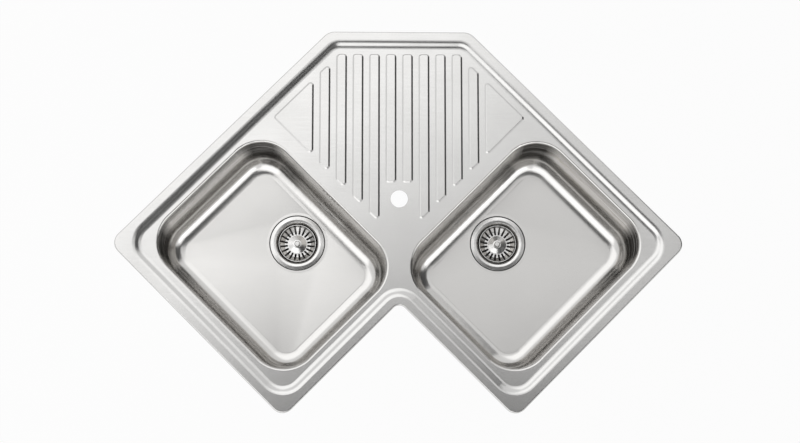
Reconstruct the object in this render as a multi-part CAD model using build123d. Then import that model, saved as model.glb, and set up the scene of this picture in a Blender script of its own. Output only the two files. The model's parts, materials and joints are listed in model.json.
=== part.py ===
from build123d import *
import math
import os

# Corner kitchen sink, inset in a worktop that turns a right-angled corner. Millimetres, +Z up.
# Origin: centre of the tap hole, level with the top of the worktop. +Y points to the room's corner.
# A place in plan is given as (along, inward): the distance along a wall from the room's corner,
# and the distance out from that wall. Pieces are made for the left arm and mirrored for the right.

# Outline of the rim
wall_length = 830.0
arm_depth = 500.0
corner_cut = 206.0
tap_from_corner = 495.0
tip_radius = 25.0
top_radius = 30.0
notch_radius = 16.0

# Section of the deck
sheet = 1.0
rim_height = 6.0
rim_roll = 3.0
step_inset = 17.0
step_width = 19.0
step_tip_radius = 43.0
step_top_radius = 30.0
deck_top = 0.5
tap_hole_radius = 17.5

# Drainer
rib_pitch = 34.0
rib_width = 19.0
rib_height = 2.0
rib_flank = 3.4
rib_corner = 5.0
rib_edge_radius = 1.2
full_ribs = 8
drainer_top = 303.0
drainer_wall_inset = 49.0
drainer_end_along = 412.0
short_rib_end = 35.0

# Bowls
bowl_inward = 404.0
bowl_corner = 72.0
bowl_end_margin = 50.0
bowl_wall_margin = 47.0
bowl_corner_lap = 5.0
bowl_depth = 150.0
bowl_draft = 3.0
bowl_fillet = 36.0
lip_radius = 5.0
lip_flat = 1.0
floor_fall = 3.0
floor_edge_flat = 1.5

# Waste in the floor of each bowl
drain_from_wall = 103.5
seat_radius = 59.2
seat_depth = 2.2
seat_blend = 4.0
drain_hole_radius = 45.0
flange_radius = 57.0
flange_edge = 0.6
flange_crown = 1.0
flange_crown_radius = 50.0
flange_throat_radius = 45.0
flange_throat_drop = 5.0
flange_lip = 1.5
cup_radius = 41.0
cup_depth = 36.0
cup_round = 6.0
cup_ports = 8
cup_port_radius = 5.0
cup_port_circle = 18.0
gasket_thickness = 1.0
gasket_radius = 56.0
gasket_hole_gap = 0.5
gasket_seat_gap = 0.2
body_gasket_thickness = 2.0
body_flange_thickness = 4.0
body_wall = 3.0
body_radius = 47.5
body_shoulder_drop = 50.0
body_funnel_drop = 16.0
outlet_radius = 23.9
outlet_bore = 20.0
outlet_length = 24.0
clamp_screw_radius = 3.0
clamp_screw_length = 26.0
clamp_head_radius = 6.0
clamp_head_height = 3.5
driver_slot_width = 1.4
driver_slot_depth = 1.6
hub_radius = 8.5
hub_height = 20.0
hub_arms = 3
hub_arm_width = 7.0
hub_arm_height = 8.0
hub_arm_drop = 2.0
insert_nut_flats = 10.0
insert_nut_height = 5.0

# Strainer basket
basket_gap = 1.8
basket_rim_drop = 4.0
basket_wall_drop = 13.0
basket_wall_lean = 1.4
basket_floor_drop = 19.0
basket_floor_radius = 27.5
basket_hub_radius = 19.5
basket_hub_rise = 4.0
basket_hub_flat = 8.0
basket_slots = 20
basket_slot_width = 4.2
basket_slot_inner = 20.5
basket_slot_outer = 36.5
basket_round = 3.0
basket_hub_round = 1.5
rivet_radius = 2.2
rivet_gap = 0.1
rivet_length = 3.5
knob_radius = 6.0
knob_neck_radius = 2.8
knob_neck_height = 3.5
knob_height = 8.0
stem_radius = 6.0
stem_plate_radius = 20.0
stem_plate_thickness = 1.5
stem_socket_wall = 1.7
stem_socket_length = 4.5
stopper_radius = 30.0
stopper_bore_gap = 0.3
stopper_thickness = 5.0
stopper_gap = 0.3

# Overflow of the left bowl
overflow_pitch = 10.4
overflow_holes_each_side = 2
overflow_hole_radius = 3.0
overflow_drop = 11.5
overflow_gasket_thickness = 2.0
overflow_gasket_land = 2.5
housing_width = 60.0
housing_height = 13.0
housing_depth = 25.0
housing_wall = 2.0
housing_boss_radius = 4.0
overflow_screw_radius = 2.0
overflow_screw_length = 18.0
overflow_head_radius = 4.2
overflow_head_height = 1.8
spout_radius = 10.0
spout_bore = 7.5
spout_drop = 45.0
spout_length = 32.0
spigot_length = 22.0
hose_wall = 2.0
hose_fit = 0.1
hose_bend = 75.0
hose_overlap = 18.0
hose_clip_band = 0.9
hose_clip_width = 8.0
hose_clip_from_end = 8.0
hose_clip_block = 7.0

# Fixings under the rim
wall_fixings = [330.0, 640.0]
end_fixings = [250.0]
front_fixings = [665.0]
bracket_sheet = 1.5
bracket_width = 20.0
bracket_tab = 4.5
bracket_drop = 20.0
bracket_reach = 16.5
screw_inset = 28.0
screw_radius = 2.45
screw_top_gap = 1.5
screw_head_radius = 4.5
screw_head_height = 4.0
nut_width = 8.0
nut_height = 4.0
thread_gap = 0.05
hole_gap = 0.3
worktop_thick = 40.0
worktop_thin = 28.0
claw_slack = 4.5
claw_reach = 36.0
claw_heel = 9.0
claw_width = 14.0
claw_sheet = 1.5
claw_rise = 17.5
claw_heel_rise = 8.0
claw_teeth = 3
claw_tooth_depth = 3.0

# Smaller fittings
seal_inset = 4.0
seal_width = 8.0
pad_thickness = 2.0
pad_from_drain = 70.5
pad_width = 190.0
pad_end_margin = 50.0
earth_tag_back = -118.0
earth_tag_foot = 12.0
earth_tag_drop = 22.0
earth_tag_width = 14.0
earth_hole_radius = 3.0

root_half = math.sqrt(0.5)
deck_bottom = deck_top - sheet
lip_outline = lip_radius + lip_flat
step_foot = step_inset + step_width
# Each bowl starts where the strip between the two bowls' rounded corners keeps its width.
bowl_inner_end = bowl_wall_margin + bowl_inward - bowl_corner_lap
bowl_along = wall_length - bowl_end_margin - bowl_inner_end
bowl_centre_along = wall_length - bowl_end_margin - bowl_along / 2
drain_offset = bowl_along / 2 - drain_from_wall
pad_start = pad_from_drain - drain_offset
pad_end = bowl_along / 2 - pad_end_margin
pad_length = pad_end - pad_start
pad_centre = (pad_start + pad_end) / 2
bowl_centre_inward = bowl_wall_margin + bowl_inward / 2
floor_level = deck_top - bowl_depth
drain_rim = floor_level - floor_fall
seat_level = drain_rim - seat_depth
flange_base = seat_level + gasket_thickness
flange_top = flange_base + flange_edge + flange_crown
cup_floor = flange_top - cup_depth
body_top = seat_level - sheet - body_gasket_thickness
shoulder_level = body_top - body_shoulder_drop
funnel_level = shoulder_level - body_funnel_drop
hub_top = cup_floor - sheet
stopper_base = cup_floor + stopper_gap
stopper_top = stopper_base + stopper_thickness
screw_travel = worktop_thick - worktop_thin + claw_slack
hose_bore = spout_radius + hose_fit
hose_radius = hose_bore + hose_wall


def plan(along, inward, side=-1):
    """Plan position on the left arm (side -1) or the right arm (side 1)."""
    return Vector(side * (along - inward) * root_half, tap_from_corner - (along + inward) * root_half)


def outline(inset, tip, top, notch):
    """Rim outline moved inwards by inset, as a closed wire with rounded corners."""
    near = inset
    far = arm_depth - inset
    end = wall_length - inset
    cut = corner_cut + (math.sqrt(2) - 1) * inset
    corners = [
        (plan(cut, near), top),
        (plan(end, near), tip),
        (plan(end, far), tip),
        (plan(far, far), notch),
        (plan(end, far, 1), tip),
        (plan(end, near, 1), tip),
        (plan(cut, near, 1), top),
    ]
    points = [(point.X, point.Y, 0) for point, radius in corners]
    return FilletPolyline(*points, radius=[radius for point, radius in corners], close=True)


def rim_line(inset):
    """Line of the rolled rim: its corners stay concentric with the outer edge."""
    return outline(inset, tip_radius - inset, top_radius - inset, notch_radius + inset)


def step_line(offset):
    """Line along the step, offset inwards from the middle of its slope."""
    inset = step_inset + step_width / 2 + offset
    return outline(inset, step_tip_radius - offset, step_top_radius - offset, step_tip_radius + offset)


def plate(outer, inner, level, thickness):
    """Flat sheet between two closed wires, its top at level."""
    face = make_face(outer.edges())
    if inner is not None:
        face -= make_face(inner.edges())
    return Pos(0, 0, level - thickness) * extrude(face, amount=thickness)


def along_path(section, path):
    """Sweep a section, drawn with X inwards and Y up, round a closed counterclockwise path."""
    start = path @ 0
    tangent = path % 0
    inwards = Vector(0, 0, 1).cross(tangent)
    return sweep(Plane(origin=start, x_dir=inwards, z_dir=tangent) * section, path=path)


def turned(*points, radii=None):
    """Solid of revolution about Z from (radius, height) points, with a rounding for each point."""
    if radii is None:
        line = Polyline(*points, close=True)
    else:
        line = FilletPolyline(*points, radius=radii, close=True)
    return revolve(Plane.XZ * make_face(line), axis=Axis.Z)


def ring(inner, outer, low, high):
    """Plain ring about Z."""
    return turned((inner, low), (outer, low), (outer, high), (inner, high))


def disc(radius, low, high):
    """Plain cylinder about Z between two levels."""
    return Pos(0, 0, (low + high) / 2) * Cylinder(radius, high - low)


def block(low, high):
    """Box between two corners."""
    size = [b - a for a, b in zip(low, high)]
    middle = [(a + b) / 2 for a, b in zip(low, high)]
    return Pos(*middle) * Box(*size)


# Deck

def rolled_edge():
    """Outer edge of the rim, rolled down to the worktop."""
    edge = -rim_roll
    inner = edge + sheet
    section = make_face([
        JernArc((0, rim_height), (-1, 0), rim_roll, 90).edge(),
        Line((edge, rim_height - rim_roll), (edge, 0)),
        Line((edge, 0), (inner, 0)),
        Line((inner, 0), (inner, rim_height - rim_roll)),
        JernArc((0, rim_height - sheet), (-1, 0), rim_roll - sheet, 90).edge(),
        Line((0, rim_height - sheet), (0, rim_height)),
    ])
    return along_path(section, rim_line(rim_roll))


def step():
    """Rounded step from the rim down to the recessed deck."""
    half = step_width / 2
    middle = (rim_height + deck_top) / 2
    upper = [
        TangentArc((-half, rim_height), (0, middle), tangent=(1, 0)),
        TangentArc((half, deck_top), (0, middle), tangent=(-1, 0)),
    ]
    lower = [Pos(0, -sheet) * arc for arc in upper]
    ends = [
        Line((-half, rim_height), (-half, rim_height - sheet)),
        Line((half, deck_top), (half, deck_bottom)),
    ]
    return along_path(make_face(upper + lower + ends), step_line(0))


def drainer_field(inset):
    """Pentagon that the drainer's ribs and triangles fill."""
    wall = drainer_wall_inset + inset
    end = drainer_end_along - inset
    top = drainer_top - inset
    shoulder = (tap_from_corner - top) / root_half - wall
    corners = [plan(shoulder, wall), plan(end, wall), plan(end, end), plan(end, wall, 1), plan(shoulder, wall, 1)]
    return make_face(Polyline(*[(p.X, p.Y) for p in corners], close=True))


def drainer_strips(inset):
    """Left edge, right edge and lower end of each raised strip, from left to right."""
    half = rib_width / 2 - inset
    centres = [(i - (full_ribs + 1) / 2) * rib_pitch for i in range(full_ribs + 2)]
    ribs = []
    for x in centres:
        low = short_rib_end + inset if abs(x) < rib_pitch else -tap_from_corner
        ribs.append((x - half, x + half, low))
    gap = rib_pitch - rib_width
    inner = centres[-1] + rib_width / 2 + gap + inset
    outer = wall_length
    return [(-outer, -inner, -tap_from_corner)] + ribs + [(inner, outer, -tap_from_corner)]


def drainer_outlines(inset):
    """Closed rounded outlines of the raised strips, moved inwards by inset."""
    field = drainer_field(inset)
    outlines = []
    for left, right, low in drainer_strips(inset):
        strip = Pos((left + right) / 2, (low + drainer_top) / 2) * Rectangle(right - left, drainer_top - low)
        shape = strip & field
        outlines.append(fillet(shape.vertices(), rib_corner - inset))
    return outlines


def raised_strips(level):
    """Solids of the drainer's raised strips, standing on level."""
    half_flank = rib_flank / 2
    solids = []
    for foot, crown in zip(drainer_outlines(-half_flank), drainer_outlines(half_flank)):
        solid = loft([Pos(0, 0, level) * foot, Pos(0, 0, level + rib_height) * crown], ruled=True)
        solids.append(fillet(solid.faces().sort_by(Axis.Z)[-1].edges(), rib_edge_radius))
    return solids


def bowl_outline(grow):
    """Bowl opening in its own plan axes, X along the wall and Y inward, widened by grow."""
    return RectangleRounded(bowl_along + 2 * grow, bowl_inward + 2 * grow, bowl_corner + grow)


def bowl_place():
    """Plane of the left bowl: its centre, with X along the wall."""
    centre = plan(bowl_centre_along, bowl_centre_inward)
    direction = plan(1, 0) - plan(0, 0)
    return Plane(origin=(centre.X, centre.Y, 0), x_dir=(direction.X, direction.Y, 0), z_dir=(0, 0, 1))


def both_sides(solid):
    """The left arm's solid and its mirror image on the right arm."""
    return [solid, mirror(solid, about=Plane.YZ)]


def make_deck():
    opening = bowl_place() * Pos(0, 0, deck_bottom) * extrude(bowl_outline(lip_outline), amount=sheet)
    floor = plate(step_line(step_width / 2), None, deck_top, sheet)
    for hole in both_sides(opening):
        floor -= hole
    for solid in raised_strips(deck_top):
        floor += solid
    for solid in raised_strips(deck_bottom):
        floor -= solid
    floor -= disc(tap_hole_radius, deck_bottom, deck_top)
    flat = plate(rim_line(rim_roll), step_line(-step_width / 2), rim_height, sheet)
    return rolled_edge() + flat + step() + floor


# Bowls

def bowl_section(level, grow):
    """Bowl outline at a level, drawn in by the draft of the walls."""
    return bowl_outline(grow - (deck_top - level) * math.tan(math.radians(bowl_draft)))


def bowl_form(grow):
    """Solid inside the bowl's skin, moved out by grow: walls, round bottom, pitched floor, drain seat."""
    low = floor_level - grow
    form = loft([Pos(0, 0, low) * bowl_section(low, grow), Pos(0, 0, deck_top) * bowl_section(deck_top, grow)],
                ruled=True)
    form = fillet(form.faces().sort_by(Axis.Z)[0].edges(), bowl_fillet + grow)
    floor_face = form.faces().sort_by(Axis.Z)[0]
    size = floor_face.bounding_box().size
    corner = bowl_corner - (bowl_along - size.X) / 2 - floor_edge_flat
    edge = RectangleRounded(size.X - 2 * floor_edge_flat, size.Y - 2 * floor_edge_flat, max(corner, 1))
    mouth = 2 * (seat_radius + seat_blend)
    drain_edge = Pos(-drain_offset, 0) * RectangleRounded(mouth + 2, mouth + 2, mouth / 2)
    form += loft([Pos(0, 0, low) * edge, Pos(0, 0, low - floor_fall) * drain_edge], ruled=True)
    form += Pos(-drain_offset, 0, 0) * disc(seat_radius + grow, seat_level - grow, low)
    return form


def make_bowl():
    slab = Pos(0, 0, deck_bottom) * extrude(bowl_outline(lip_outline), amount=sheet)
    shell = bowl_form(sheet) + slab
    under = [face for face in shell.faces() if abs(face.center().Z - deck_bottom) < 0.01][0]
    shell = fillet(under.inner_wires()[0].edges(), lip_radius - sheet)
    shell -= bowl_form(0)
    top = shell.faces().sort_by(Axis.Z)[-1]
    shell = fillet(top.inner_wires()[0].edges(), lip_radius)
    shell -= Pos(-drain_offset, 0, 0) * disc(drain_hole_radius, seat_level - 2 * sheet, seat_level + sheet)
    return bowl_place() * shell


# Waste

def at_drain(solid):
    """Place a solid made about the Z axis at the left drain."""
    return bowl_place() * Pos(-drain_offset, 0, 0) * solid


def make_strainer_flange():
    """Bright flange that lies in the bowl's seat, with the cup that holds the basket."""
    outer = cup_radius + sheet
    solid = turned(
        (flange_radius, flange_base), (flange_radius, flange_base + flange_edge),
        (flange_crown_radius, flange_top), (flange_throat_radius, flange_top - flange_edge),
        (cup_radius, flange_top - flange_throat_drop), (cup_radius, cup_floor), (0, cup_floor),
        (0, cup_floor - sheet), (outer, cup_floor - sheet), (outer, flange_top - flange_throat_drop),
        (flange_throat_radius, flange_base),
        radii=[0, flange_edge / 2, cup_round, flange_lip, flange_lip, cup_round,
               0, 0, cup_round + sheet, flange_lip, 0],
    )
    for place in PolarLocations(cup_port_circle, cup_ports):
        solid -= place * disc(cup_port_radius, cup_floor - 2 * sheet, cup_floor + sheet)
    return solid - disc(clamp_screw_radius + hole_gap, cup_floor - 2 * sheet, cup_floor + sheet)


def make_flange_gasket():
    outer = seat_radius - gasket_seat_gap
    return ring(drain_hole_radius + gasket_hole_gap, outer, seat_level, flange_base)


def make_body_gasket():
    return ring(drain_hole_radius + gasket_hole_gap, gasket_radius, body_top, seat_level - sheet)


def spout_axis():
    """Point and direction of the overflow spout, which leaves the waste body upwards at 45 degrees."""
    return Vector(-body_radius, 0, body_top - spout_drop), Vector(-root_half, 0, root_half)


def make_waste_body(with_spout):
    """Plastic body below the bowl: funnel, threaded outlet, and a hub for the clamp screw."""
    inner = body_radius - body_wall
    solid = turned(
        (gasket_radius, body_top), (gasket_radius, body_top - body_flange_thickness),
        (body_radius, body_top - body_flange_thickness), (body_radius, shoulder_level),
        (outlet_radius, funnel_level), (outlet_radius, funnel_level - outlet_length),
        (outlet_bore, funnel_level - outlet_length), (outlet_bore, funnel_level),
        (inner, shoulder_level), (inner, body_top),
    )
    for place in PolarLocations(0, hub_arms):
        top = hub_top - hub_arm_drop
        low_end = (0, -hub_arm_width / 2, top - hub_arm_height)
        solid += place * block(low_end, (inner + body_wall / 2, hub_arm_width / 2, top))
    solid += disc(hub_radius, hub_top - hub_height, hub_top)
    solid -= disc(clamp_screw_radius + hole_gap, hub_top - hub_height, hub_top)
    pocket = RegularPolygon(insert_nut_flats / 2 + thread_gap, 6, major_radius=False)
    solid -= Pos(0, 0, hub_top - hub_height) * extrude(pocket, amount=insert_nut_height)
    if with_spout:
        point, direction = spout_axis()
        axis = Plane(origin=point, z_dir=direction)
        inside = 2 * body_wall + spout_radius
        shell = disc(spout_radius, -inside, spout_length) - disc(spout_bore, -inside, spout_length)
        core = disc(inner, shoulder_level, body_top)
        solid += axis * shell - core
        solid -= axis * disc(spout_bore, -inside, spout_length)
    return solid


def make_insert_nut():
    low = hub_top - hub_height
    hexagon = RegularPolygon(insert_nut_flats / 2, 6, major_radius=False)
    nut = Pos(0, 0, low) * extrude(hexagon, amount=insert_nut_height)
    return nut - disc(clamp_screw_radius + thread_gap, low, low + insert_nut_height)


def slotted_screw(radius, length, head_radius, head_height):
    """Screw pointing down from a head that stands on Z = 0, with a driver slot."""
    head = turned((0, 0), (head_radius, 0), (head_radius, head_height), (0, head_height),
                  radii=[0, 0, head_height / 3, 0])
    slot = block((-head_radius, -driver_slot_width / 2, head_height - driver_slot_depth),
                 (head_radius, driver_slot_width / 2, head_height))
    return head + disc(radius, -length, 0) - slot


def make_clamp_screw():
    screw = slotted_screw(clamp_screw_radius, clamp_screw_length, clamp_head_radius, clamp_head_height)
    return Pos(0, 0, cup_floor) * screw


# Basket

def make_basket():
    """Dished basket with a domed hub and radial slots that run up its sloping side."""
    radius = cup_radius - basket_gap
    lean = basket_wall_lean
    levels = [flange_top - drop for drop in (basket_rim_drop, basket_wall_drop, basket_floor_drop)]
    hub = levels[2] + basket_hub_rise
    solid = turned(
        (0, hub), (basket_hub_flat, hub), (basket_hub_radius, levels[2]), (basket_floor_radius, levels[2]),
        (radius - sheet - lean, levels[1]), (radius - sheet, levels[0]),
        (radius, levels[0]), (radius - lean, levels[1] - sheet), (basket_floor_radius, levels[2] - sheet),
        (basket_hub_radius, levels[2] - sheet), (basket_hub_flat, hub - sheet), (0, hub - sheet),
        radii=[0, basket_hub_flat, basket_hub_round, basket_round, basket_round, 0, 0,
               basket_round + sheet, basket_round + sheet, basket_hub_round + sheet, basket_hub_flat, 0],
    )
    slot = Pos((basket_slot_inner + basket_slot_outer) / 2, 0, levels[2]) * extrude(
        SlotOverall(basket_slot_outer - basket_slot_inner, basket_slot_width),
        amount=basket_floor_drop, both=True)
    for place in PolarLocations(0, basket_slots):
        solid -= place * slot
    return solid - disc(rivet_radius + rivet_gap, hub - 2 * sheet, hub + sheet)


def make_knob():
    """Turned knob, riveted through the hub of the basket."""
    foot = flange_top - basket_floor_drop + basket_hub_rise
    return turned(
        (0, foot - rivet_length), (rivet_radius, foot - rivet_length), (rivet_radius, foot),
        (knob_neck_radius, foot), (knob_neck_radius, foot + knob_neck_height),
        (knob_radius, foot + knob_neck_height), (knob_radius, foot + knob_height), (0, foot + knob_height),
        radii=[0, 0, 0, 0, 1, 1, 2.5, 0],
    )


def make_stem():
    """Stem under the basket: it holds the stopper and fits over the head of the clamp screw."""
    top = flange_top - basket_floor_drop + basket_hub_rise - sheet
    bore = rivet_radius + rivet_gap
    bore_end = top + sheet - rivet_length - rivet_gap
    plate = stopper_top + stem_plate_thickness
    socket = clamp_head_radius + 1
    skirt = socket + stem_socket_wall
    return turned(
        (bore, top), (stem_radius, top), (stem_radius, plate), (stem_plate_radius, plate),
        (stem_plate_radius, stopper_top), (skirt, stopper_top), (skirt, stopper_top - stem_socket_length),
        (socket, stopper_top - stem_socket_length), (socket, stopper_top),
        (0, stopper_top), (0, bore_end), (bore, bore_end),
    )


def make_stopper():
    bore = clamp_head_radius + 1 + stem_socket_wall + stopper_bore_gap
    edge = stopper_thickness / 3
    return turned((bore, stopper_base), (stopper_radius, stopper_base), (stopper_radius, stopper_top),
                  (bore, stopper_top), radii=[0, edge, edge, 0])


# Overflow of the left bowl

def overflow_place():
    """Plane on the inside of the bowl's wall at the overflow: X across, Y down the wall, Z outwards."""
    lean = math.radians(bowl_draft)
    x = -bowl_along / 2 + overflow_drop * math.tan(lean)
    return Plane(origin=(x, 0, deck_top - overflow_drop), x_dir=(0, 1, 0),
                 z_dir=(-math.cos(lean), 0, -math.sin(lean)))


def wall_outside():
    """Distance from the inside of the bowl's wall to its outside, square to the wall."""
    return sheet * math.cos(math.radians(bowl_draft))


def overflow_cuts():
    """Holes through the bowl's wall: the overflow holes in a row, and one for the screw."""
    through = 3 * sheet
    cuts = [disc(overflow_screw_radius + hole_gap, -through, through)]
    for number in range(1, overflow_holes_each_side + 1):
        for side in (-1, 1):
            hole = disc(overflow_hole_radius, -through, through)
            cuts.append(Pos(side * number * overflow_pitch, 0, 0) * hole)
    return [overflow_place() * cut for cut in cuts]


def make_overflow_gasket():
    low = wall_outside()
    outer = RectangleRounded(housing_width, housing_height, housing_height / 4)
    land = 2 * overflow_gasket_land
    inner = RectangleRounded(housing_width - land, housing_height - land, housing_height / 4)
    return overflow_place() * Pos(0, 0, low) * extrude(outer - inner, amount=overflow_gasket_thickness)


def spigot_place():
    """Axis of the housing's spigot, in the overflow's own plane: it points down the wall."""
    middle = wall_outside() + overflow_gasket_thickness + housing_depth / 2
    return Plane(origin=(0, housing_height / 2, middle), x_dir=(1, 0, 0), z_dir=(0, 1, 0))


def make_overflow_housing():
    """Plastic housing behind the overflow holes, with a spigot for the hose."""
    low = wall_outside() + overflow_gasket_thickness
    outer = extrude(RectangleRounded(housing_width, housing_height, housing_height / 4), amount=housing_depth)
    wall = 2 * housing_wall
    hollow = extrude(RectangleRounded(housing_width - wall, housing_height - wall, housing_height / 4 - 1),
                     amount=housing_depth - housing_wall)
    boss = disc(housing_boss_radius, 0, housing_depth - housing_wall)
    boss -= disc(overflow_screw_radius + thread_gap, 0, housing_depth - housing_wall)
    body = Pos(0, 0, low) * (outer - hollow)
    spigot = spigot_place() * disc(spout_radius, -housing_wall / 2, spigot_length)
    bore = spigot_place() * disc(spout_bore, -housing_wall, spigot_length)
    return overflow_place() * (body + spigot - bore + Pos(0, 0, low) * boss)


def make_overflow_screw():
    size = (overflow_screw_radius, overflow_screw_length, overflow_head_radius, overflow_head_height)
    return overflow_place() * Rot(180, 0, 0) * slotted_screw(*size)


def hose_path():
    """Route of the hose in the bowl's own axes: down the wall, one bend, and onto the spout."""
    down = spigot_place().z_dir
    start = spigot_place().origin + down * (spigot_length - hose_overlap)
    start = overflow_place().from_local_coords(start)
    along_wall = overflow_place().y_dir
    spout, outwards = spout_axis()
    spout += Vector(-drain_offset, 0, 0)
    end = spout + outwards * (spout_length - hose_overlap)
    gap = end - start
    cross = along_wall.X * outwards.Z - along_wall.Z * outwards.X
    reach = (gap.X * outwards.Z - gap.Z * outwards.X) / cross
    return start, start + along_wall * reach, end


def tube(path, radius):
    """Round rod along an open path."""
    return sweep(Plane(origin=path @ 0, z_dir=path % 0) * Circle(radius), path=path)


def make_overflow_hose():
    path = FilletPolyline(*hose_path(), radius=hose_bend)
    return tube(path, hose_radius) - tube(path, hose_bore)


def make_hose_clips():
    start, bend, end = hose_path()
    clips = []
    for point, toward in ((start, bend), (end, bend)):
        direction = (toward - point).normalized()
        place = Plane(origin=point + direction * hose_clip_from_end, x_dir=(0, 1, 0), z_dir=direction)
        half = hose_clip_width / 2
        inner = hose_radius + hose_fit
        band = disc(inner + hose_clip_band, -half, half)
        low_end = (inner, -hose_clip_block / 2, -half)
        band += block(low_end, (inner + hose_clip_block, hose_clip_block / 2, half))
        clips.append(place * (band - disc(inner, -half, half)))
    return clips


# Fixings

def fixing_places():
    """A plane at each fixing of the left arm: origin on the rim's edge, Y inwards from that edge."""
    wall_in = plan(0, 1) - plan(0, 0)
    end_in = plan(0, 0) - plan(1, 0)
    spots = [(plan(along, 0), wall_in) for along in wall_fixings]
    spots += [(plan(wall_length, inward), end_in) for inward in end_fixings]
    spots += [(plan(along, arm_depth), wall_in * -1) for along in front_fixings]
    places = []
    for point, inwards in spots:
        sideways = Vector(inwards.Y, -inwards.X, 0)
        places.append(Plane(origin=(point.X, point.Y, 0), x_dir=(sideways.X, sideways.Y, 0), z_dir=(0, 0, 1)))
    return places


def make_bracket():
    """Folded strip, welded beside the foot of the step, with a shelf that carries the nut."""
    top = deck_bottom
    leg = step_foot
    shelf = top - bracket_drop
    t = bracket_sheet
    outline_points = [
        (leg + bracket_tab, top), (leg, top), (leg, shelf), (leg - bracket_reach, shelf),
        (leg - bracket_reach, shelf - t), (leg + t, shelf - t), (leg + t, top - t),
        (leg + bracket_tab, top - t),
    ]
    face = Plane.YZ * make_face(Polyline(*outline_points, close=True))
    strip = Pos(-bracket_width / 2, 0, 0) * extrude(face, amount=bracket_width, dir=(1, 0, 0))
    return strip - Pos(0, screw_inset, 0) * disc(screw_radius + hole_gap, shelf - 2 * t, shelf + t)


def make_fixing_nut():
    top = deck_bottom - bracket_drop - bracket_sheet
    half = nut_width / 2
    nut = block((-half, -half, top - nut_height), (half, half, top))
    return Pos(0, screw_inset, 0) * (nut - disc(screw_radius + thread_gap, top - nut_height, top))


def claw_level():
    """Underside of the claw, which is the top of the screw's head."""
    return -worktop_thick - claw_slack - claw_rise


def make_fixing_screw():
    """Screw hanging in the nut, its head down and carrying the claw."""
    top = deck_bottom - screw_travel - screw_top_gap
    low = claw_level()
    head = turned((0, low - screw_head_height), (screw_head_radius, low - screw_head_height),
                  (screw_head_radius, low), (0, low), radii=[0, 1, 0, 0])
    recess = block((-screw_head_radius, -driver_slot_width / 2, low - screw_head_height),
                   (screw_head_radius, driver_slot_width / 2, low - screw_head_height + driver_slot_depth))
    return Pos(0, screw_inset, 0) * (head + disc(screw_radius, low, top) - recess)


def make_claw():
    """Bent steel claw, stowed along the rim: a toothed end that reaches the worktop, and a heel."""
    low = claw_level()
    t = claw_sheet
    outline_points = [
        (-claw_heel, low), (claw_reach, low), (claw_reach, low + claw_rise),
        (claw_reach - t, low + claw_rise), (claw_reach - t, low + t), (-claw_heel + t, low + t),
        (-claw_heel + t, low + claw_heel_rise), (-claw_heel, low + claw_heel_rise),
    ]
    face = Plane.XZ * make_face(Polyline(*outline_points, close=True))
    claw = Pos(0, -claw_width / 2, 0) * extrude(face, amount=claw_width, dir=(0, 1, 0))
    pitch = claw_width / claw_teeth
    for number in range(claw_teeth - 1):
        y = -claw_width / 2 + (number + 1) * pitch
        notch = Polyline((y - pitch / 2, low + claw_rise), (y + pitch / 2, low + claw_rise),
                         (y, low + claw_rise - claw_tooth_depth), close=True)
        cut = extrude(Plane.YZ * make_face(notch), amount=3 * t, dir=(1, 0, 0))
        claw -= Pos(claw_reach - 2 * t, 0, 0) * cut
    return Pos(0, screw_inset, 0) * (claw - disc(screw_radius + hole_gap, low, low + t))


# Smaller fittings

def make_rim_seal():
    """Foam tape under the flat of the rim, down to the worktop."""
    top = rim_height - sheet
    return plate(rim_line(seal_inset), rim_line(seal_inset + seal_width), top, top)


def make_sound_pad():
    """Damping pad stuck under the floor of the bowl, clear of the waste."""
    layer = bowl_form(sheet + pad_thickness) - bowl_form(sheet)
    half = (pad_length / 2, pad_width / 2)
    cutter = block((pad_centre - half[0], -half[1], seat_level - bowl_fillet),
                   (pad_centre + half[0], half[1], floor_level))
    return bowl_place() * (layer & cutter)


def make_earth_tag():
    """Bonding tag welded under the deck between the bowls, with a hole in its hanging leg."""
    half = earth_tag_width / 2
    front = earth_tag_back - earth_tag_foot
    tag = block((-half, front, deck_bottom - bracket_sheet), (half, earth_tag_back, deck_bottom))
    tag += block((-half, front, deck_bottom - earth_tag_drop), (half, front + bracket_sheet, deck_bottom))
    hole = Plane(origin=(0, front, deck_bottom - earth_tag_drop + half), z_dir=(0, 1, 0))
    return tag - hole * disc(earth_hole_radius, -bracket_sheet, 2 * bracket_sheet)


def group(solids):
    """Separate solids of one node."""
    return Compound(children=[solid.solid() for solid in solids])


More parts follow.
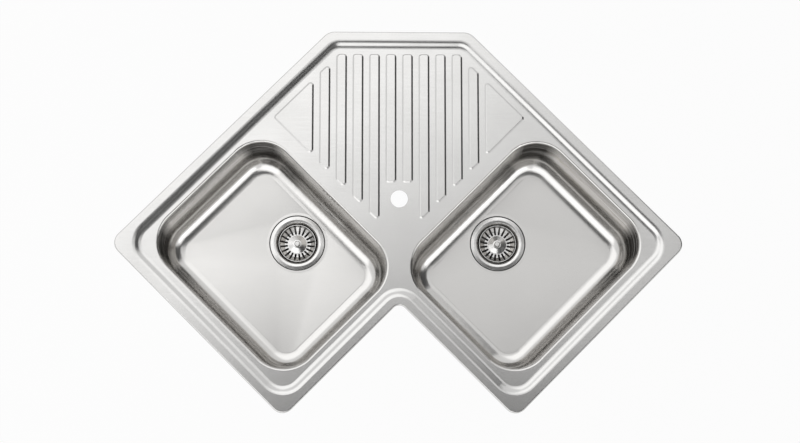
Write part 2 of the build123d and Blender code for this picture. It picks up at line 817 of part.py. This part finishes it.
def make_nodes():
    """Every node's shape by name."""
    bowl = make_bowl()
    left_bowl = bowl
    for cut in overflow_cuts():
        left_bowl -= bowl_place() * cut
    nodes = {
        "deck": make_deck(),
        "left_bowl": left_bowl,
        "right_bowl": mirror(bowl, about=Plane.YZ),
        "rim_seal": make_rim_seal(),
        "earth_tag": make_earth_tag(),
        "left_overflow_gasket": bowl_place() * make_overflow_gasket(),
        "left_overflow_housing": bowl_place() * make_overflow_housing(),
        "left_overflow_screw": bowl_place() * make_overflow_screw(),
        "left_overflow_hose": bowl_place() * make_overflow_hose(),
        "left_hose_clips": group([bowl_place() * clip for clip in make_hose_clips()]),
    }
    pair = {
        "strainer_flange": make_strainer_flange(),
        "flange_gasket": make_flange_gasket(),
        "body_gasket": make_body_gasket(),
        "insert_nut": make_insert_nut(),
        "clamp_screw": make_clamp_screw(),
        "basket": make_basket(),
        "basket_knob": make_knob(),
        "basket_stem": make_stem(),
        "basket_stopper": make_stopper(),
    }
    pair = {name: at_drain(solid) for name, solid in pair.items()}
    pair["sound_pad"] = make_sound_pad()
    for name, solid in pair.items():
        nodes[f"left_{name}"], nodes[f"right_{name}"] = both_sides(solid)
    nodes["left_waste_body"] = at_drain(make_waste_body(True))
    nodes["right_waste_body"] = mirror(at_drain(make_waste_body(False)), about=Plane.YZ)
    brackets = []
    nuts = []
    for number, place in enumerate(fixing_places(), start=1):
        brackets += both_sides(place * make_bracket())
        nuts += both_sides(place * make_fixing_nut())
        for name, solid in (("fixing_screw", make_fixing_screw()), ("claw", make_claw())):
            left, right = both_sides(place * solid)
            nodes[f"left_{name}_{number}"] = left
            nodes[f"right_{name}_{number}"] = right
    nodes["fixing_brackets"] = group(brackets)
    nodes["fixing_nuts"] = group(nuts)
    return nodes


def main():
    os.makedirs("parts", exist_ok=True)
    nodes = make_nodes()
    for name, shape in nodes.items():
        export_step(shape, f"parts/{name}.step")
    return nodes


if __name__ == "__main__":
    main()
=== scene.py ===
import json
import math
import bmesh
import bpy
from mathutils import Euler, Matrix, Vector


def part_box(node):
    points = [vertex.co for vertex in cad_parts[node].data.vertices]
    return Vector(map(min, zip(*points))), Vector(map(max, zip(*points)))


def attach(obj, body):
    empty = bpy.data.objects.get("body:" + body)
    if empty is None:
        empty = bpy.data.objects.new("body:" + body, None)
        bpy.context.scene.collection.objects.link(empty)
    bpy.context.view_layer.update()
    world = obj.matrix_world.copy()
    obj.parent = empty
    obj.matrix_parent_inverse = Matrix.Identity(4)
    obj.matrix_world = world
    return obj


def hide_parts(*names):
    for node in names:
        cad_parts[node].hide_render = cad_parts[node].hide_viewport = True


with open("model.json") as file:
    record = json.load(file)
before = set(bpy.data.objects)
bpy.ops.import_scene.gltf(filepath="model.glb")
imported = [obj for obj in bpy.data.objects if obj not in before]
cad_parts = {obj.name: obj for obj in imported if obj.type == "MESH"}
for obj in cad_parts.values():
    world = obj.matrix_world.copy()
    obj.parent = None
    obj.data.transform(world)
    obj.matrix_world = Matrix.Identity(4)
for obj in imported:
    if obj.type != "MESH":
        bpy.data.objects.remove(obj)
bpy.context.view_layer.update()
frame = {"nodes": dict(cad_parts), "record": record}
nodes = frame["nodes"]
print("frame loaded:", len(nodes), "pieces")


class Signal:  # a node's output that can be used in sums
    def __init__(self, tree, socket):
        self.tree = tree
        self.socket = socket

    def __add__(self, other):
        return self.tree.calculate("ADD", self, other)

    def __sub__(self, other):
        return self.tree.calculate("SUBTRACT", self, other)

    def __rsub__(self, other):
        return self.tree.calculate("SUBTRACT", other, self)

    def __mul__(self, other):
        return self.tree.calculate("MULTIPLY", self, other)


class ShaderTree:
    def __init__(self, owner):
        owner.use_nodes = True
        self.nodes = owner.node_tree.nodes
        self.links = owner.node_tree.links
        self.nodes.clear()

    def node(self, kind, settings=None, inputs=None, output=0):
        made = self.nodes.new("ShaderNode" + kind)
        for key, value in (settings or {}).items():
            setattr(made, key, value)
        for key, value in (inputs or {}).items():
            if isinstance(value, Signal):
                self.links.new(value.socket, made.inputs[key])
            else:
                made.inputs[key].default_value = value
        return Signal(self, made.outputs[output]) if made.outputs else made

    def calculate(self, operation, first, second):
        return self.node("Math", {"operation": operation}, {0: first, 1: second})

    def balance(self, first, second, share):
        return first * share + second * (1 - share)

    def blend(self, factor, first, second):  # sockets 6, 7 and 2 are the ones for colours
        inputs = {0: factor, 6: first, 7: second}
        return self.node("Mix", {"data_type": "RGBA"}, inputs, 2)

    def mixShader(self, factor, first, second):
        return self.node("MixShader", None, {0: factor, 1: first, 2: second})

    def place(self, scale=(1, 1, 1), turn=0.0):  # own coordinates in metres, turned about Z and scaled
        where = self.node("TexCoord", output="Object")
        inputs = {"Vector": where, "Rotation": (0, 0, math.radians(turn)), "Scale": scale}
        return self.node("Mapping", {"vector_type": "POINT"}, inputs)

    def axes(self, vector):
        return [self.node("SeparateXYZ", None, {"Vector": vector}, axis) for axis in range(3)]

    def noise(self, vector, scale=1.0, detail=3.0, roughness=0.5):
        inputs = {"Vector": vector, "Scale": scale, "Detail": detail, "Roughness": roughness}
        return self.node("TexNoise", None, inputs)

    def spread(self, value, low, high, span=(0.3, 0.7)):  # most of a noise lies in the default span
        inputs = {"Value": value, "From Min": span[0], "From Max": span[1],
                  "To Min": low, "To Max": high}
        return self.node("MapRange", {"clamp": True}, inputs)

    def bump(self, height, distance):
        return self.node("Bump", None, {"Height": height, "Distance": distance, "Strength": 1.0})


def finishMaterial(tree, values):
    shader = tree.node("BsdfPrincipled", None, values)
    tree.node("OutputMaterial", None, {"Surface": shader})


def newTree(name):
    material = bpy.data.materials.new(name)
    return material, ShaderTree(material)


# Sheet steel: a fine grain along the sheet and soft clouds where it was pressed
sheetSteel = {
    "colour": (0.61, 0.605, 0.597, 1), "worn": (0.56, 0.555, 0.546, 1), "roughness": (0.20, 0.27),
    "grain": (18, 900, 900), "grainNoise": {"detail": 4, "roughness": 0.7},
    "cloudNoise": {"scale": 9, "detail": 2}, "grainInShine": 0.6, "grainInColour": 0.5,
    "bump": 0.000012,
}


def makeSheetSteel(name, turn):
    material, tree = newTree(name)
    grain = tree.noise(tree.place(sheetSteel["grain"], turn), **sheetSteel["grainNoise"])
    clouds = tree.noise(tree.place(), **sheetSteel["cloudNoise"])
    shine = tree.balance(grain, clouds, sheetSteel["grainInShine"])
    worn = tree.spread(tree.balance(grain, clouds, sheetSteel["grainInColour"]), 0, 1)
    finishMaterial(tree, {
        "Base Color": tree.blend(worn, sheetSteel["colour"], sheetSteel["worn"]),
        "Roughness": tree.spread(shine, *sheetSteel["roughness"]),
        "Metallic": 1.0, "Normal": tree.bump(grain, sheetSteel["bump"]),
    })
    return material


# Bowls: the same steel, polished inside in level streaks, brushed along the floor, dull outside.
# Painted light: shade in the wall streaks, a highlight on the front corner, dark reflections high in
# two corners, shade on the overflow holes' edges.
# The reaches are spans of the surface's direction, or of its height in metres for the levels.
bowlSteel = {
    "colour": (0.60, 0.592, 0.58, 1), "streakShade": (0.40, 0.373, 0.34, 1),
    "front": (0.86, 0.85, 0.83, 1), "dull": (0.50, 0.497, 0.49, 1),
    "shadow": (0.035, 0.033, 0.03, 1), "shadowRoughness": 0.6,
    "roughness": (0.17, 0.25), "dullness": 0.16, "bump": 0.000015,
    "walls": (5, 5, 160), "wallNoise": {"detail": 5, "roughness": 0.65},
    "floor": (14, 700, 40), "floorNoise": {"detail": 4, "roughness": 0.7},
    "cloudNoise": {"scale": 7, "detail": 3}, "grainShare": 0.5,
    "reach": {
        "lean": 0.05, "inside": (-0.01, 0.01), "wall": (0.06, 0.45), "streaks": (0.38, 0.62),
        "front": (0.72, 0.95), "backCorner": (-0.95, -0.74), "sideCorner": (0.76, 0.96),
        "upperLevel": (-0.142, -0.105), "upperSlope": (0.10, 0.60),
        "patchStreaks": (0.35, 0.6), "patchLeast": 0.70,
        "edgeSlope": (0.15, 0.30), "edgeTop": (-0.0080, -0.0075), "edgeFoot": (-0.0170, -0.0160),
    },
}


def makeBowlSteel(name, turn, side):
    material, tree = newTree(name)
    reach = bowlSteel["reach"]
    across, along, up = tree.axes(tree.node("NewGeometry", output="Normal"))
    spotX, spotY, level = tree.axes(tree.place())
    low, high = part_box("left_bowl" if side > 0 else "right_bowl")
    middle = (low + high) / 2
    outward = (spotX - middle.x) * across + (spotY - middle.y) * along - up * reach["lean"]
    inner = tree.spread(outward, 1, 0, reach["inside"])
    wall = tree.spread(up, 1, 0, reach["wall"]) * inner
    streaks = tree.noise(tree.place(bowlSteel["walls"], turn), **bowlSteel["wallNoise"])
    grain = tree.noise(tree.place(bowlSteel["floor"], turn), **bowlSteel["floorNoise"])
    clouds = tree.noise(tree.place(), **bowlSteel["cloudNoise"])
    shine = tree.balance(grain, clouds, bowlSteel["grainShare"])
    rough = tree.spread(shine, *bowlSteel["roughness"]) + (1 - inner) * bowlSteel["dullness"]
    # polish streaks and painted shade: the steep inner walls are painted darker in level streaks
    shade = tree.spread(streaks, 0, 1, reach["streaks"]) * wall
    # painted highlight: the front corner of each bowl is painted brighter
    front = tree.spread(along, 0, 1, reach["front"]) * inner  # the front corner is brighter
    colour = tree.blend(shade * (1 - front), bowlSteel["colour"], bowlSteel["streakShade"])
    colour = tree.blend(front, colour, bowlSteel["front"])
    colour = tree.blend(inner, bowlSteel["dull"], colour)
    bump = tree.bump(streaks * wall + grain * (1 - wall), bowlSteel["bump"])
    steel = {"Base Color": colour, "Roughness": rough, "Metallic": 1.0, "Normal": bump}
    # painted reflection and painted shade: a dark, dull shader is mixed in high in two corners and on
    # the overflow holes' edges
    shadow = {"Base Color": bowlSteel["shadow"], "Roughness": bowlSteel["shadowRoughness"],
              "Specular IOR Level": 0.0}
    paintedReflection = paintedCornerReflection(tree, side, (across, along, up), level, streaks) * inner
    dark = tree.calculate("MAXIMUM", paintedReflection, paintedHoleShade(tree, up, level))
    mixed = tree.mixShader(dark, tree.node("BsdfPrincipled", None, steel),
                           tree.node("BsdfPrincipled", None, shadow))
    tree.node("OutputMaterial", None, {"Surface": mixed})
    return material


# painted reflection: dark reflections painted high in the back and side corners
def paintedCornerReflection(tree, side, normal, level, streaks):  # dark reflections high in two corners
    across, along, up = normal
    reach = bowlSteel["reach"]
    corner = (tree.spread(along, 1, 0, reach["backCorner"])
              + tree.spread(across * side, 0, 1, reach["sideCorner"]))
    upper = (tree.spread(level, 0, 1, reach["upperLevel"])
             * tree.spread(up, 1, 0, reach["upperSlope"]))
    return corner * upper * tree.spread(streaks, reach["patchLeast"], 1, reach["patchStreaks"])


# painted shade: the overflow holes' edges are painted dark for the shade inside the holes
def paintedHoleShade(tree, up, level):  # the punched edges of the overflow holes are dark
    reach = bowlSteel["reach"]
    below = tree.spread(level, 1, 0, reach["edgeTop"])
    above = tree.spread(level, 0, 1, reach["edgeFoot"])
    return tree.spread(up, 0, 1, reach["edgeSlope"]) * below * above


# Polished steel of the wastes: nearly a mirror, with fine turning marks.
# Cup is painted shade: the throat below the ring's top is painted grey, starting a little below that
# top and full a few millimetres lower.
polishedSteel = {
    "colour": (0.68, 0.675, 0.667, 1), "worn": (0.60, 0.594, 0.584, 1), "roughness": (0.20, 0.27),
    "marks": (60, 60, 400), "markNoise": {"detail": 4, "roughness": 0.6},
    "smudgeNoise": {"scale": 45, "detail": 2}, "markShare": 0.4, "bump": 0.00001,
    "cup": (0.17, 0.165, 0.155, 1), "bright": 0.0012, "shadeFull": 0.0045,
}


def makePolishedSteel(name, ringTop=None):
    material, tree = newTree(name)
    marks = tree.noise(tree.place(polishedSteel["marks"]), **polishedSteel["markNoise"])
    smudges = tree.noise(tree.place(), **polishedSteel["smudgeNoise"])
    shine = tree.balance(marks, smudges, polishedSteel["markShare"])
    colour = tree.blend(tree.spread(smudges, 0, 1), polishedSteel["colour"], polishedSteel["worn"])
    # painted shade down the throat of the flange, by height
    if ringTop is not None:
        level = tree.axes(tree.place())[2]
        span = (ringTop - polishedSteel["shadeFull"], ringTop - polishedSteel["bright"])
        colour = tree.blend(tree.spread(level, 1, 0, span), colour, polishedSteel["cup"])
    finishMaterial(tree, {
        "Base Color": colour, "Roughness": tree.spread(shine, *polishedSteel["roughness"]),
        "Metallic": 1.0, "Normal": tree.bump(marks, polishedSteel["bump"]),
    })
    return material


# Zinc plating: grey spangle with a faint yellow cast
platedSteel = {
    "light": (0.66, 0.67, 0.68, 1), "dark": (0.44, 0.45, 0.47, 1), "cast": (0.66, 0.62, 0.50, 1),
    "roughness": (0.30, 0.48), "spangle": 260, "spangleSpan": (0, 0.9),
    "hazeNoise": {"scale": 60, "detail": 3}, "castMost": 0.35, "castSpan": (0.45, 0.75),
}


def makePlatedSteel():
    material, tree = newTree("platedSteel")
    crystals = tree.node("TexVoronoi", {"feature": "F1"},
                         {"Vector": tree.place(), "Scale": platedSteel["spangle"]})
    haze = tree.noise(tree.place(), **platedSteel["hazeNoise"])
    darker = tree.spread(crystals, 0, 1, platedSteel["spangleSpan"])
    yellow = tree.spread(haze, 0, platedSteel["castMost"], platedSteel["castSpan"])
    colour = tree.blend(darker, platedSteel["light"], platedSteel["dark"])
    finishMaterial(tree, {
        "Base Color": tree.blend(yellow, colour, platedSteel["cast"]),
        "Roughness": tree.spread(haze, *platedSteel["roughness"]), "Metallic": 1.0,
    })
    return material


# Brass of the insert nuts: turned, a little tarnished
brassNut = {
    "bright": (0.80, 0.62, 0.32, 1), "tarnish": (0.48, 0.34, 0.17, 1), "roughness": (0.22, 0.42),
    "noise": {"scale": 160, "detail": 4, "roughness": 0.6}, "span": (0.4, 0.75),
}


def makeBrass():
    material, tree = newTree("turnedBrass")
    tarnish = tree.noise(tree.place(), **brassNut["noise"])
    darker = tree.spread(tarnish, 0, 1, brassNut["span"])
    finishMaterial(tree, {
        "Base Color": tree.blend(darker, brassNut["bright"], brassNut["tarnish"]),
        "Roughness": tree.spread(tarnish, *brassNut["roughness"]), "Metallic": 1.0,
    })
    return material


# Rubber, foam and damping sheet: no shine, each with its own surface
softFinishes = {
    "blackRubber": {"colour": (0.022, 0.022, 0.023, 1), "dusty": (0.060, 0.060, 0.060, 1),
                    "scale": 300, "roughness": (0.55, 0.72), "bump": 0.00005},
    "sealFoam": {"colour": (0.050, 0.050, 0.052, 1), "dusty": (0.11, 0.11, 0.11, 1),
                 "scale": 1400, "roughness": (0.80, 0.95), "bump": 0.0003},
    "dampingPad": {"colour": (0.085, 0.087, 0.092, 1), "dusty": (0.16, 0.16, 0.165, 1),
                   "scale": 520, "roughness": (0.70, 0.88), "bump": 0.0002},
}
softNoise = {
    "pores": {"detail": 3, "roughness": 0.6}, "dust": {"scale": 30, "detail": 3},
    "poreShare": 0.5, "dustSpan": (0.4, 0.65),
}


def makeSoftFinish(name):
    values = softFinishes[name]
    material, tree = newTree(name)
    pores = tree.noise(tree.place(), values["scale"], **softNoise["pores"])
    dust = tree.noise(tree.place(), **softNoise["dust"])
    dusty = tree.spread(tree.balance(pores, dust, softNoise["poreShare"]), 0, 1, softNoise["dustSpan"])
    finishMaterial(tree, {
        "Base Color": tree.blend(dusty, values["colour"], values["dusty"]),
        "Roughness": tree.spread(pores, *values["roughness"]),
        "Normal": tree.bump(pores, values["bump"]),
    })
    return material


# Moulded plastic: satin, with a faint orange peel and a yellower or darker haze
plastics = {
    "whitePlastic": {"colour": (0.78, 0.78, 0.76, 1), "aged": (0.70, 0.695, 0.66, 1),
                     "roughness": (0.34, 0.46)},
    "greyPlastic": {"colour": (0.36, 0.37, 0.385, 1), "aged": (0.28, 0.285, 0.30, 1),
                    "roughness": (0.38, 0.50)},
}
plasticNoise = {
    "peel": {"scale": 700, "detail": 2}, "haze": {"scale": 24, "detail": 3},
    "peelShare": 0.5, "bump": 0.00003,
}


def makePlastic(name):
    values = plastics[name]
    material, tree = newTree(name)
    peel = tree.noise(tree.place(), **plasticNoise["peel"])
    haze = tree.noise(tree.place(), **plasticNoise["haze"])
    shine = tree.balance(peel, haze, plasticNoise["peelShare"])
    finishMaterial(tree, {
        "Base Color": tree.blend(tree.spread(haze, 0, 1), values["colour"], values["aged"]),
        "Roughness": tree.spread(shine, *values["roughness"]),
        "Normal": tree.bump(peel, plasticNoise["bump"]),
    })
    return material


finishes = {name: makeSoftFinish(name) for name in softFinishes}
finishes.update({name: makePlastic(name) for name in plastics})
finishes["deckSteel"] = makeSheetSteel("deckSteel", 0)
finishes["leftBowlSteel"] = makeBowlSteel("leftBowlSteel", -45, 1)
finishes["rightBowlSteel"] = makeBowlSteel("rightBowlSteel", 45, -1)
finishes["polishedSteel"] = makePolishedSteel("polishedSteel")
finishes["flangeSteel"] = makePolishedSteel("flangeSteel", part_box("left_strainer_flange")[1].z)
finishes["platedSteel"] = makePlatedSteel()
finishes["brass"] = makeBrass()

pieceFinish = {
    "deck": "deckSteel", "left_bowl": "leftBowlSteel", "right_bowl": "rightBowlSteel",
    "rim_seal": "sealFoam", "earth_tag": "platedSteel", "fixing_brackets": "platedSteel",
    "fixing_nuts": "platedSteel", "overflow_gasket": "blackRubber",
    "overflow_housing": "whitePlastic", "overflow_screw": "polishedSteel",
    "overflow_hose": "greyPlastic", "hose_clips": "platedSteel",
    "strainer_flange": "flangeSteel", "flange_gasket": "blackRubber",
    "body_gasket": "blackRubber", "waste_body": "whitePlastic", "insert_nut": "brass",
    "clamp_screw": "polishedSteel", "basket": "polishedSteel", "basket_knob": "polishedSteel",
    "basket_stem": "greyPlastic", "basket_stopper": "blackRubber", "sound_pad": "dampingPad",
    "fixing_screw": "platedSteel", "claw": "platedSteel",
}


def finishOf(name):
    found = [key for key in pieceFinish if key in name]
    return finishes[pieceFinish[max(found, key=len)]]


for name, piece in nodes.items():
    piece.data.materials.clear()
    piece.data.materials.append(finishOf(name))
print("finishes on:", len(nodes), "pieces")


# Pieces that need more than their solid: cut threads and a ribbed hose
def bodyOf(name):
    bodies = frame["record"]["behaviour"]["bodies"]
    return next(body for body, names in bodies.items() if name in names)


def standIn(bmeshMade, name, sharpAngle=None):  # a new piece that takes the place of one CAD node
    mesh = bpy.data.meshes.new(name + "_detail")
    bmeshMade.to_mesh(mesh)
    bmeshMade.free()
    if sharpAngle is not None:
        mesh.set_sharp_from_angle(angle=math.radians(sharpAngle))
    piece = bpy.data.objects.new(name + "_detail", mesh)
    bpy.context.scene.collection.objects.link(piece)
    mesh.materials.clear()
    mesh.materials.append(finishOf(name))
    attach(piece, bodyOf(name))
    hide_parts(name)


# Threads: the plain side of a rod or pipe gives way to a cut thread with the same outside size
threads = {
    "fixing_screw": {"radius": 0.00245, "root": 0.00203, "pitch": 0.0008, "steps": 14, "run": 0.0015},
    "waste_body": {"radius": 0.0239, "root": 0.0228, "pitch": 0.0023, "steps": 72, "run": 0.0012},
}
threadProfile = [(0.0, 0), (0.12, 1), (0.42, 1), (0.54, 0)]  # share of the pitch, depth
threadLimits = {"weld": 0.000001, "steepest": 0.3, "slack": 0.00004, "thinnest": 1e-7}


def plainSide(mesh, middle, radius):
    found = []
    for face in mesh.faces:
        away = [(vertex.co.to_2d() - middle).length for vertex in face.verts]
        upright = abs(face.normal.z) < threadLimits["steepest"]
        if upright and max(abs(value - radius) for value in away) < threadLimits["slack"]:
            found.append(face)
    heights = [vertex.co.z for face in found for vertex in face.verts]
    return found, min(heights), max(heights)


def threadRow(mesh, values, middle, turns, low, high):
    row = []
    angle = math.tau * turns
    for share, depth in threadProfile:
        height = low - values["pitch"] + values["pitch"] * (turns + share)
        inside = min(max(height, low), high)
        shallow = min(1, (inside - low) / values["run"], (high - inside) / values["run"])
        radius = values["radius"] - (values["radius"] - values["root"]) * depth * shallow
        place = (middle.x + radius * math.cos(angle), middle.y + radius * math.sin(angle), inside)
        row.append(mesh.verts.new(place))
    return row


def joinRows(mesh, rows, steps):  # each row to the next, and its last lane to the turn above
    lanes = len(threadProfile) - 1
    for step, (row, following) in enumerate(zip(rows, rows[1:])):
        quads = [(row[i], following[i], following[i + 1], row[i + 1]) for i in range(lanes)]
        if step + steps + 1 < len(rows):
            above, aboveNext = rows[step + steps], rows[step + steps + 1]
            quads.append((row[lanes], following[lanes], aboveNext[0], above[0]))
        for corners in quads:
            heights = [corner.co.z for corner in corners]
            if max(heights) - min(heights) > threadLimits["thinnest"]:
                mesh.faces.new(corners)


def cutThread(name, values, middle):
    mesh = bmesh.new()
    mesh.from_mesh(nodes[name].data)
    bmesh.ops.remove_doubles(mesh, verts=mesh.verts, dist=threadLimits["weld"])
    plain, low, high = plainSide(mesh, middle, values["radius"])
    bmesh.ops.delete(mesh, geom=plain, context="FACES_ONLY")
    steps = values["steps"]
    turns = math.ceil((high - low) / values["pitch"]) + 2
    rows = [threadRow(mesh, values, middle, step / steps, low, high)
            for step in range(turns * steps + 1)]
    joinRows(mesh, rows, steps)
    loose = [vertex for vertex in mesh.verts if not vertex.link_faces]
    bmesh.ops.delete(mesh, geom=loose, context="VERTS")
    standIn(mesh, name)


def drainMiddle(name):
    low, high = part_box(name.replace("waste_body", "strainer_flange"))
    return ((low + high) / 2).to_2d()


for name in sorted(nodes):
    if "fixing_screw" in name:
        low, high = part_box(name)
        cutThread(name, threads["fixing_screw"], ((low + high) / 2).to_2d())
    elif "waste_body" in name:
        cutThread(name, threads["waste_body"], drainMiddle(name))
print("threads cut")


# Overflow hose: ribbed between its plain cuffs, on the route that the solid has
hose = {
    "route": [(-0.129171, 0.013690, -0.022297), (-0.133475, 0.009385, -0.138463),
              (-0.171898, -0.029037, -0.192801)],
    "bend": 0.075, "radius": 0.0121, "bore": 0.0101, "groove": 0.0013, "pitch": 0.0034,
    "cuff": 0.020, "cuffFade": 0.002, "ribShape": 0.7, "sides": 40, "loopsPerRib": 8,
    "boreStep": 4, "sharpAngle": 50,
}


def roundedRoute(points, radius, step):  # two straight runs joined by an arc, evenly spaced points
    start, bend, end = [Vector(point) for point in points]
    before, after = (bend - start).normalized(), (end - bend).normalized()
    turn = before.angle(after)
    reach = radius * math.tan(turn / 2)
    arcStart, arcEnd = bend - before * reach, bend + after * reach
    centre = arcStart + (after - before * math.cos(turn)).normalized() * radius
    count = round((arcStart - start).length / step)
    places = [start.lerp(arcStart, i / count) for i in range(count)]
    count = round(radius * turn / step)
    spoke, side = arcStart - centre, before * radius
    for i in range(count):
        angle = turn * i / count
        places.append(centre + spoke * math.cos(angle) + side * math.sin(angle))
    count = round((end - arcEnd).length / step)
    return places + [arcEnd.lerp(end, i / count) for i in range(count + 1)]


def hoseLoop(mesh, places, bend, index, radius):
    ahead = places[min(index + 1, len(places) - 1)] - places[max(index - 1, 0)]
    across = bend.cross(ahead.normalized())
    loop = []
    for i in range(hose["sides"]):
        turn = math.tau * i / hose["sides"]
        spoke = bend * math.cos(turn) + across * math.sin(turn)
        loop.append(mesh.verts.new(places[index] + spoke * radius))
    return loop


def makeHose(name):
    places = roundedRoute(hose["route"], hose["bend"], hose["pitch"] / hose["loopsPerRib"])
    along = [0.0]
    for first, second in zip(places, places[1:]):
        along.append(along[-1] + (second - first).length)
    bend = (places[0] - places[-1]).cross(places[len(places) // 2] - places[-1]).normalized()
    mesh = bmesh.new()
    loops = []
    for index, distance in enumerate(along):
        pastCuff = min(distance, along[-1] - distance) - hose["cuff"]
        ribbed = min(1, max(0, pastCuff / hose["cuffFade"]))
        wave = 0.5 - 0.5 * math.cos(math.tau * distance / hose["pitch"])
        radius = hose["radius"] - hose["groove"] * ribbed * wave ** hose["ribShape"]
        loops.append(hoseLoop(mesh, places, bend, index, radius))
    stops = [*range(0, len(places), hose["boreStep"]), len(places) - 1]
    inner = [hoseLoop(mesh, places, bend, index, hose["bore"]) for index in stops]
    loops += inner[::-1]
    for first, second in zip(loops, loops[1:] + loops[:1]):
        for i in range(hose["sides"]):
            j = (i + 1) % hose["sides"]
            mesh.faces.new([first[i], first[j], second[j], second[i]])
    bmesh.ops.recalc_face_normals(mesh, faces=mesh.faces)
    for face in mesh.faces:
        face.smooth = True
    standIn(mesh, name, hose["sharpAngle"])


makeHose("left_overflow_hose")
print("hose made")


# Room: a pale floor at kitchen floor level, white to the camera and in the steel, clear from below
room = {
    "floorLevel": -0.90, "floorSize": 30, "floorColour": (0.80, 0.80, 0.80, 1), "floorWhite": 0.95,
    "white": (1, 1, 1, 1), "skyLight": 0.60, "skyWhite": 1.0,
}


def seenDirectly(tree):  # 1 for what the camera, a reflection or a clear piece shows
    camera = tree.node("LightPath", output="Is Camera Ray")
    glossy = tree.node("LightPath", output="Is Glossy Ray")
    through = tree.node("LightPath", output="Is Transmission Ray")
    return tree.calculate("MAXIMUM", tree.calculate("MAXIMUM", camera, glossy), through)


def makeFloor():
    bpy.ops.mesh.primitive_plane_add(size=room["floorSize"], location=(0, 0, room["floorLevel"]))
    floor = bpy.context.object
    floor.name = "floor"
    material, tree = newTree("paleFloor")
    paint = tree.node("BsdfDiffuse", None, {"Color": room["floorColour"]})
    white = tree.node("Emission", None, {"Color": room["white"], "Strength": 1.0})
    lit = tree.mixShader(seenDirectly(tree) * room["floorWhite"], paint, white)
    clear = tree.node("BsdfTransparent")
    below = tree.node("NewGeometry", output="Backfacing")
    tree.node("OutputMaterial", None, {"Surface": tree.mixShader(below, lit, clear)})
    floor.data.materials.append(material)


def makeSky():
    world = bpy.data.worlds.new("studio")
    bpy.context.scene.world = world
    tree = ShaderTree(world)
    soft = tree.node("Background", None, {"Color": room["white"], "Strength": room["skyLight"]})
    white = tree.node("Background", None, {"Color": room["white"], "Strength": room["skyWhite"]})
    mixed = tree.mixShader(seenDirectly(tree), soft, white)
    tree.node("OutputWorld", None, {"Surface": mixed})


def onDome(bearing, down, distance):
    turn, tilt = math.radians(bearing), math.radians(down)
    level = math.sin(tilt)
    return Vector((math.sin(turn) * level, math.cos(turn) * level, math.cos(tilt))) * distance


# Cards: curved grey panels that the steel reflects, as a photographer hangs round shiny ware.
# Bearings run clockwise from the corner of the room, heights down from straight above.
cards = {
    "overheadCard": {"bearing": (95, 260), "down": (-4, 21), "distance": 4.4, "grey": 0.20},
    "screenCard": {"bearing": (98, 166), "down": (21, 49), "distance": 4.4, "grey": 0.16},
    "sideCard": {"bearing": (50, 98), "down": (28, 94), "distance": 4.3, "grey": 0.14},
}
cardSteps = 24


def spaced(ends):
    return [ends[0] + (ends[1] - ends[0]) * i / cardSteps for i in range(cardSteps + 1)]


def makeCard(name):
    values = cards[name]
    points = [onDome(bearing, down, values["distance"])
              for down in spaced(values["down"]) for bearing in spaced(values["bearing"])]
    width = cardSteps + 1
    corners = [row * width + column for row in range(cardSteps) for column in range(cardSteps)]
    faces = [(first, first + 1, first + width + 1, first + width) for first in corners]
    mesh = bpy.data.meshes.new(name)
    mesh.from_pydata(points, [], faces)
    card = bpy.data.objects.new(name, mesh)
    bpy.context.scene.collection.objects.link(card)
    material, tree = newTree(name)
    grey = values["grey"]
    paint = tree.node("BsdfDiffuse", None, {"Color": (grey, grey, grey, 1)})
    tree.node("OutputMaterial", None, {"Surface": paint})
    mesh.materials.append(material)
    card.visible_camera = False
    card.visible_shadow = False


# Lamps: two for the whole sink and one that reaches the bowls alone
lamps = {
    "cornerLamp": {"bearing": 322, "down": 28, "distance": 4.0, "size": (4.4, 2.8), "watts": 24},
    "frontLamp": {"bearing": 208, "down": 44, "distance": 4.0, "size": (3.6, 2.6), "watts": 24},
    "bowlLamp": {"bearing": 135, "down": 46, "distance": 3.6, "size": (2.6, 1.8), "watts": 24,
                 "only": "bowl"},
}


def makeLamp(name):
    values = lamps[name]
    light = bpy.data.lights.new(name, "AREA")
    light.shape = "RECTANGLE"
    light.size, light.size_y = values["size"]
    light.energy = values["watts"]
    lamp = bpy.data.objects.new(name, light)
    lamp.location = onDome(values["bearing"], values["down"], values["distance"])
    lamp.rotation_euler = (-lamp.location).to_track_quat("-Z", "Y").to_euler()
    lamp.visible_camera = False
    bpy.context.scene.collection.objects.link(lamp)
    if "only" in values:
        reached = bpy.data.collections.new(name + "Reach")
        for pieceName, piece in nodes.items():
            if values["only"] in pieceName:
                reached.objects.link(piece)
        lamp.light_linking.receiver_collection = reached


makeFloor()
makeSky()
for name in cards:
    makeCard(name)
for name in lamps:
    makeLamp(name)
print("room ready")


# Camera: almost straight above, a little to the front
camera = {"place": (-0.0805, -0.5962, 3.5), "turn": (8.920, -1.342, -0.004), "lens": 78.35,
          "sensor": 36}


def makeCamera():
    lens = bpy.data.cameras.new("camera")
    lens.lens = camera["lens"]
    lens.sensor_width = camera["sensor"]
    eye = bpy.data.objects.new("camera", lens)
    eye.location = camera["place"]
    eye.rotation_euler = Euler([math.radians(angle) for angle in camera["turn"]])
    bpy.context.scene.collection.objects.link(eye)
    bpy.context.scene.camera = eye


makeCamera()
bpy.context.scene.view_settings.view_transform = "Standard"
